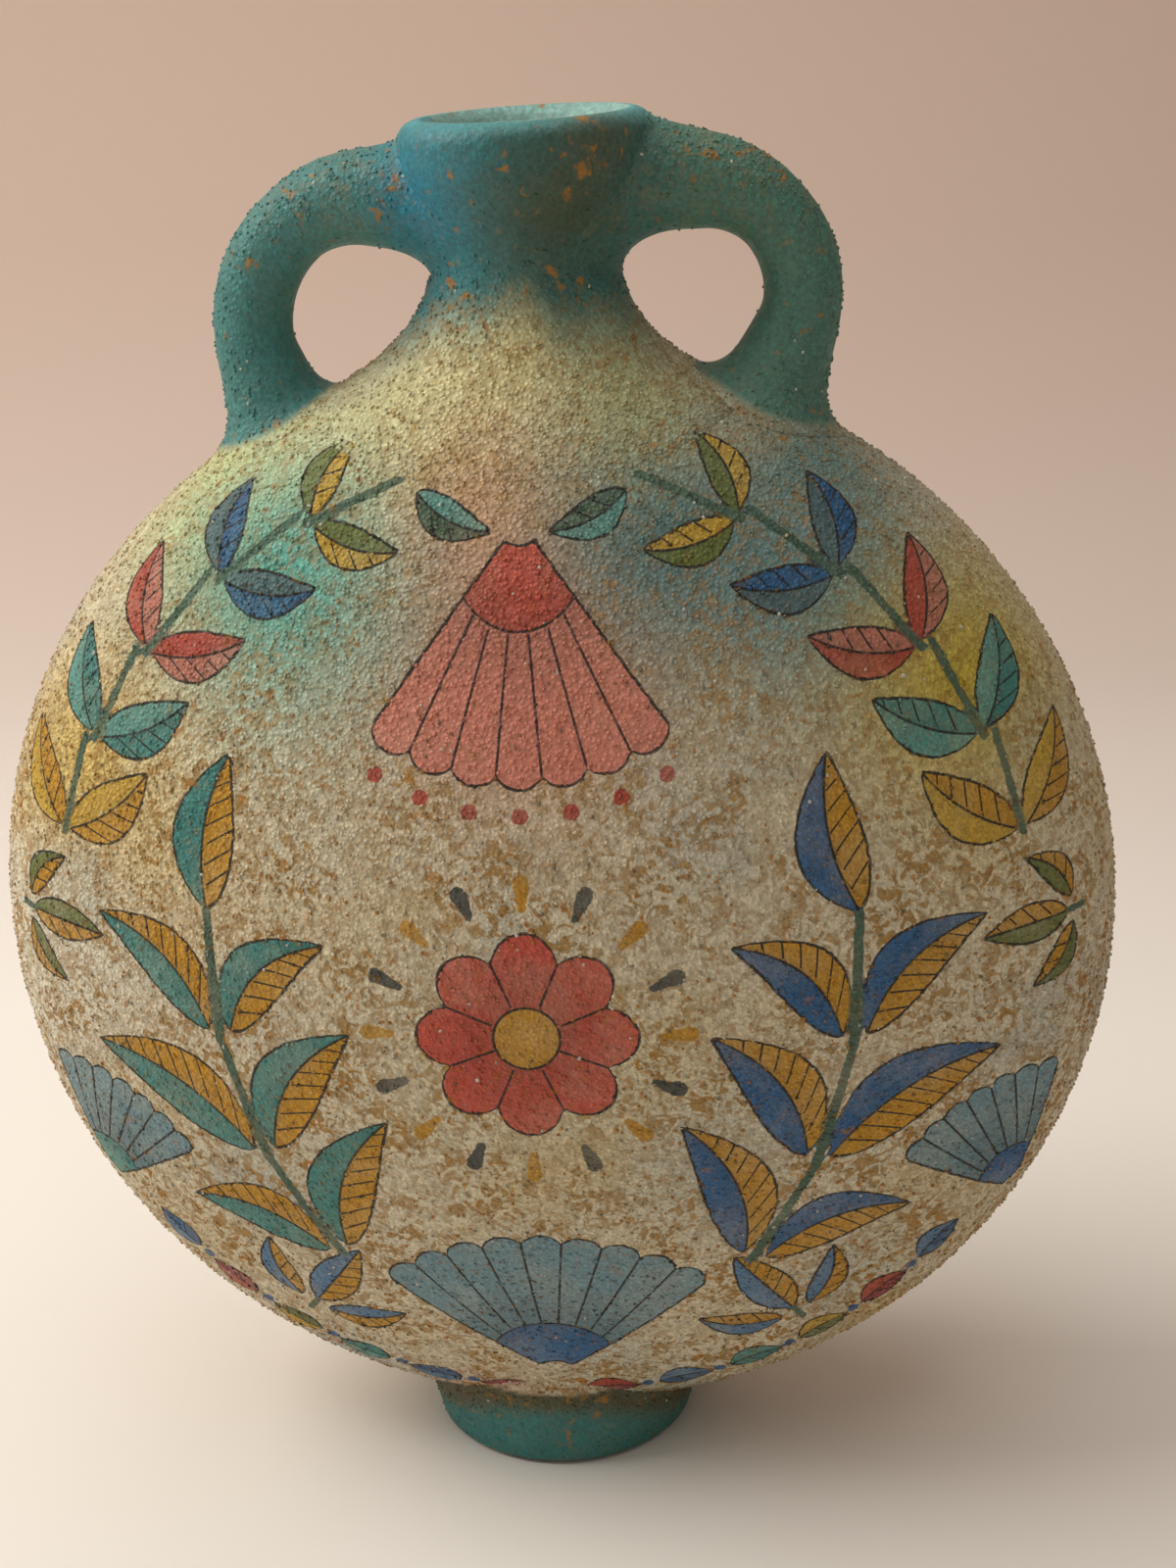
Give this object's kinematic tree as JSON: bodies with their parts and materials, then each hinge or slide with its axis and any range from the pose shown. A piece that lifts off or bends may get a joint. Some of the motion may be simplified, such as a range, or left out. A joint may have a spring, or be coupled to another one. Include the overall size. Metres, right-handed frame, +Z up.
{
  "type": "pilgrim flask",
  "caption": "Flattened round ceramic flask with a flaring neck, a loop handle on each shoulder and a low foot ring, finished in rough sanded slip paint.",
  "frame": {"origin": "middle of the foot ring on the table", "axes": "+Z up through the neck, -Y the painted front, +X to the right seen from the front"},
  "size_m": [0.24, 0.122, 0.2913],
  "materials": {
    "sanded_slip": "matt sand-textured slip, painted",
    "turquoise_slip": "matt turquoise slip paint, sanded"
  },
  "bodies": {
    "root": {"body_front": "sanded_slip", "body_back": "sanded_slip", "neck": "turquoise_slip", "handle_left": "turquoise_slip", "handle_right": "turquoise_slip", "foot_ring": "turquoise_slip"}
  },
  "joints": []
}
